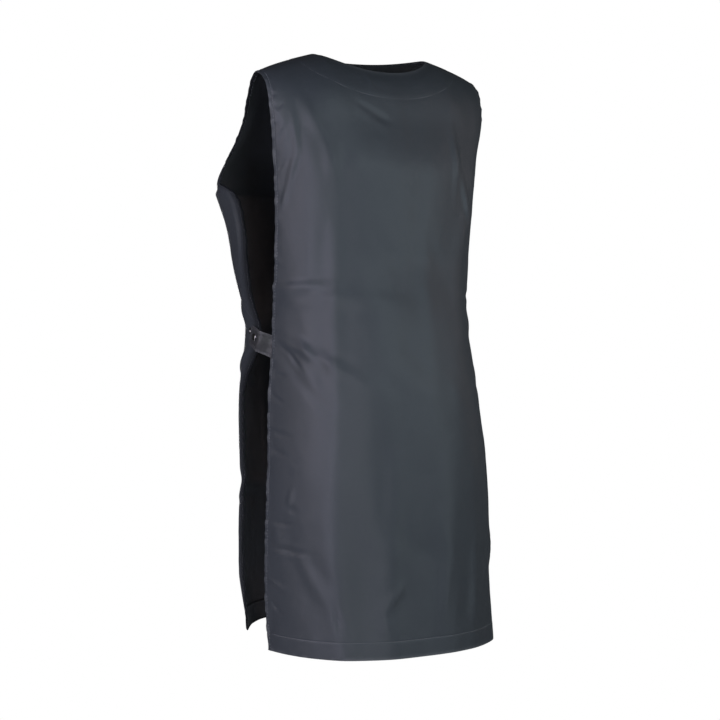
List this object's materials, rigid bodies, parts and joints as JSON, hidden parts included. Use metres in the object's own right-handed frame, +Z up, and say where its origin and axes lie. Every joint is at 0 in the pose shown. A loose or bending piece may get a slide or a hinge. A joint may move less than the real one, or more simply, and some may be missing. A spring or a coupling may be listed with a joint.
{
  "type": "cobbler apron",
  "caption": "Sleeveless tabard apron of dark twill, open down both sides, faced neckline, snap tab at each side of the waist, worn form.",
  "frame": {"origin": "midway between the shoulders, level with the highest points of the shoulder seams, where the apron rests on the wearer", "axes": "+X towards the wearer's left, +Y towards the wearer's back, +Z up"},
  "size_m": [0.4194, 0.3828, 0.9128],
  "materials": {
    "twill": "matt charcoal workwear twill with a slight sheen",
    "facing": "the same twill seen from its inside, matt",
    "snap_metal": "dark nickel press snaps"
  },
  "bodies": {
    "root": {"back_panel": "twill", "front_panel": "twill", "back_neck_facing": "facing", "front_neck_facing": "facing", "side_tab_left": "twill", "snap_cap_left": "snap_metal", "snap_stud_left": "snap_metal", "spare_stud_left": "snap_metal", "side_tab_right": "twill", "snap_cap_right": "snap_metal", "snap_stud_right": "snap_metal", "spare_stud_right": "snap_metal"}
  },
  "joints": []
}
